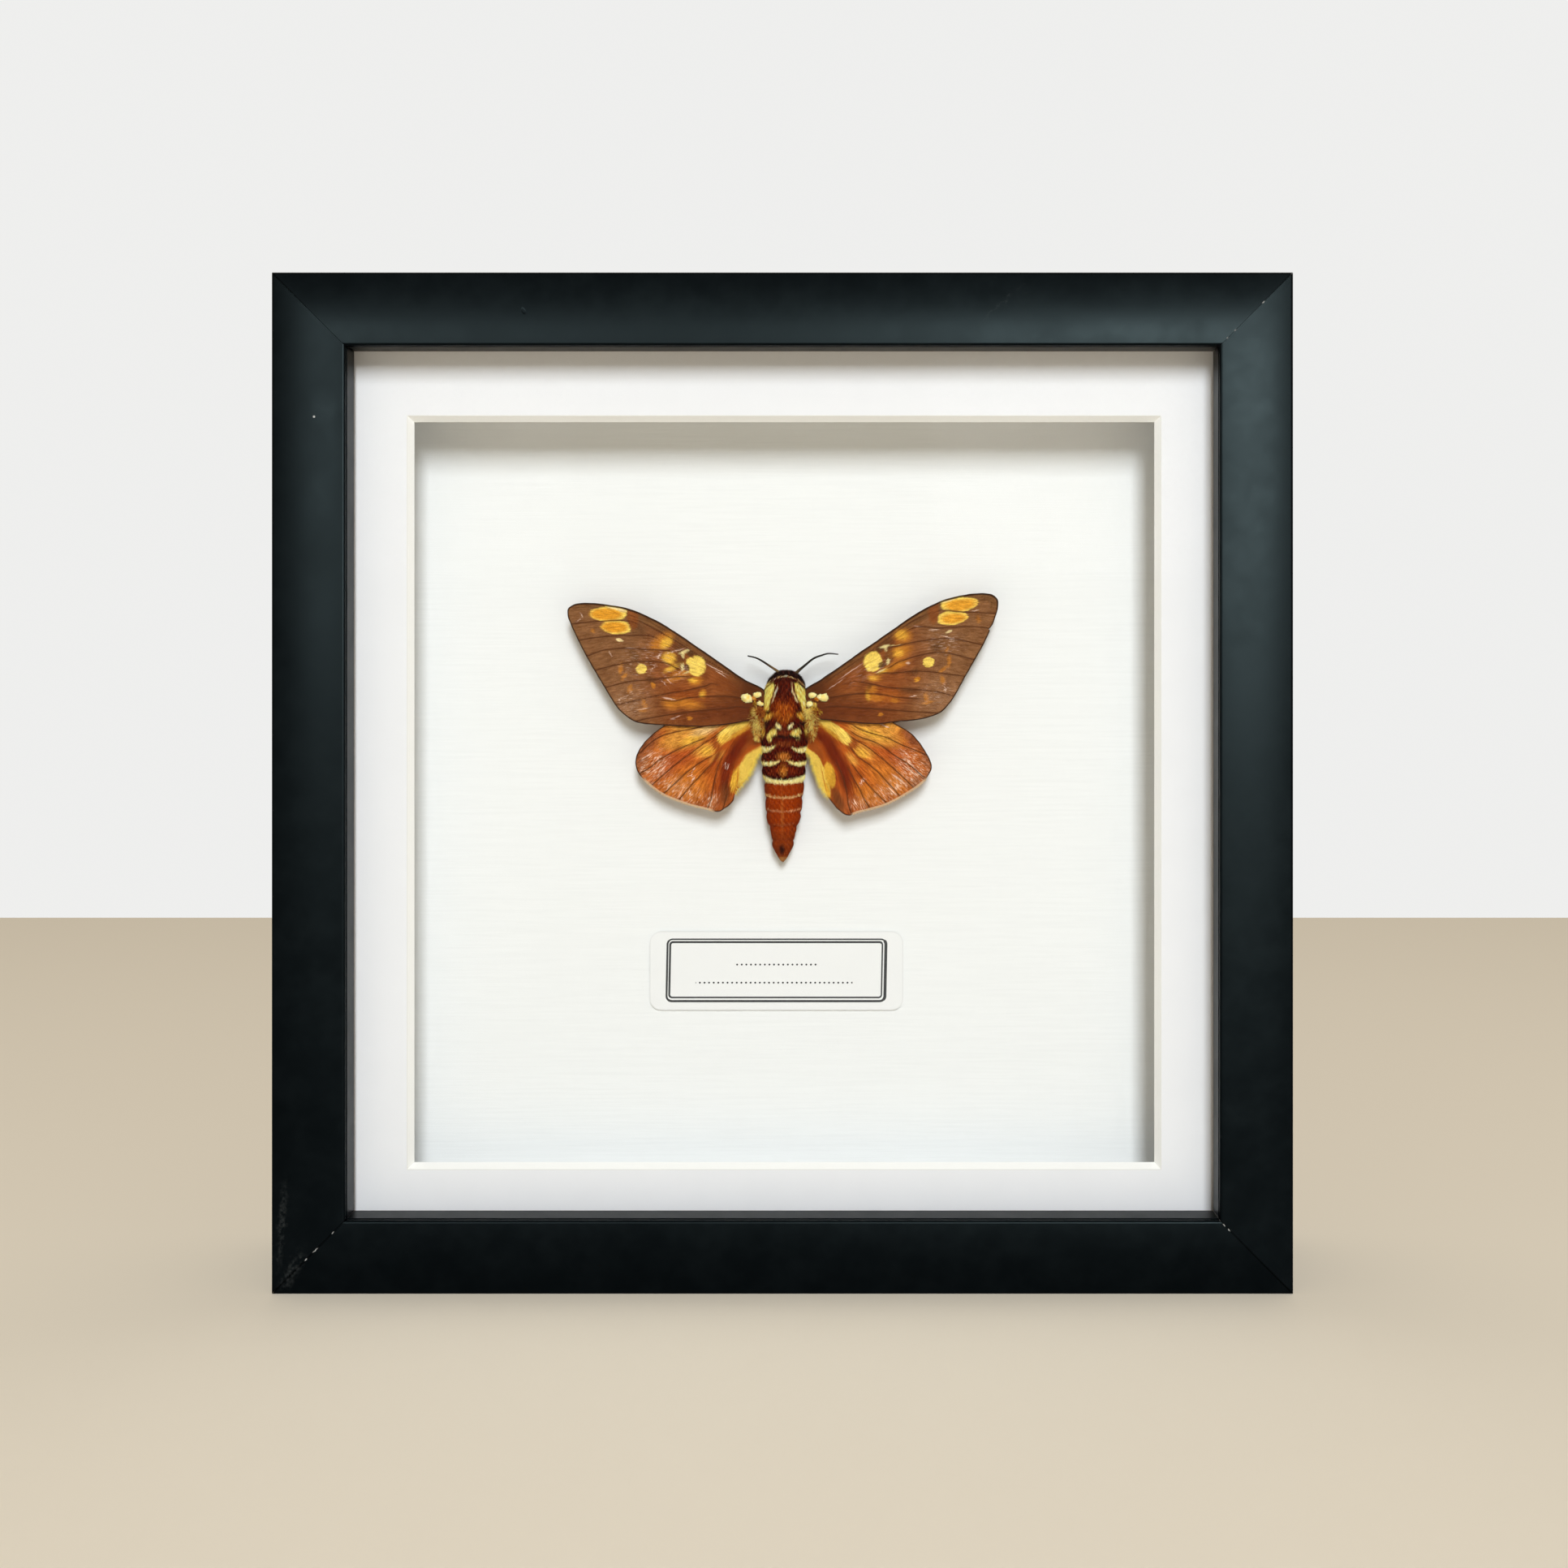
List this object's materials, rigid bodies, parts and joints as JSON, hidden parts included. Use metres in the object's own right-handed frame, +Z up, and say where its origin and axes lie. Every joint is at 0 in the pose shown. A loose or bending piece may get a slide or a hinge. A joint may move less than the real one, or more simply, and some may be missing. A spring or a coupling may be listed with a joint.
{
  "type": "framed moth specimen",
  "caption": "Square black box frame with glass, a white mat with a bevelled window and a dried moth with spread wings over a blank ruled label.",
  "frame": {"origin": "centre of the frame's underside, halfway through its depth", "axes": "+Z up along the moth's body towards its head; +X to the right of someone facing the glass; the glass faces -Y and the back panel +Y"},
  "size_m": [0.25, 0.045, 0.25],
  "materials": {
    "black_frame": "satin black lacquer over wood, with thin mitre lines",
    "clear_glazing": "clear flat picture glass",
    "mat_card": "smooth cool white mat board with a bevelled window",
    "linen_board": "warm white board with fine laid lines",
    "label_paper": "near-white sticker with a printed double rule",
    "hardboard": "brown pressed hardboard",
    "zinc_steel": "thin zinc-plated steel",
    "moth_fur": "dense short fur, dark red-brown with cream bands",
    "forewing_scales": "matt scales, grey-brown with orange and yellow spots",
    "hindwing_scales": "matt scales, red-brown with orange-yellow patches",
    "antenna_horn": "dark olive-brown horn"
  },
  "bodies": {
    "root": {"frame_rail_bottom": "black_frame", "frame_rail_left": "black_frame", "frame_rail_top": "black_frame", "frame_rail_right": "black_frame", "glazing": "clear_glazing", "mat": "mat_card", "spacer_top": "mat_card", "spacer_bottom": "mat_card", "spacer_left": "mat_card", "spacer_right": "mat_card", "mount_board": "linen_board", "label": "label_paper", "back_panel": "hardboard", "retaining_tab_top_1": "zinc_steel", "retaining_tab_top_2": "zinc_steel", "retaining_tab_right_1": "zinc_steel", "retaining_tab_right_2": "zinc_steel", "retaining_tab_bottom_1": "zinc_steel", "retaining_tab_bottom_2": "zinc_steel", "retaining_tab_left_1": "zinc_steel", "retaining_tab_left_2": "zinc_steel", "hanger": "zinc_steel", "hanger_nail_left": "zinc_steel", "hanger_nail_right": "zinc_steel", "moth_body": "moth_fur", "forewing_left": "forewing_scales", "forewing_right": "forewing_scales", "hindwing_left": "hindwing_scales", "hindwing_right": "hindwing_scales", "antenna_left": "antenna_horn", "antenna_right": "antenna_horn"}
  },
  "joints": []
}
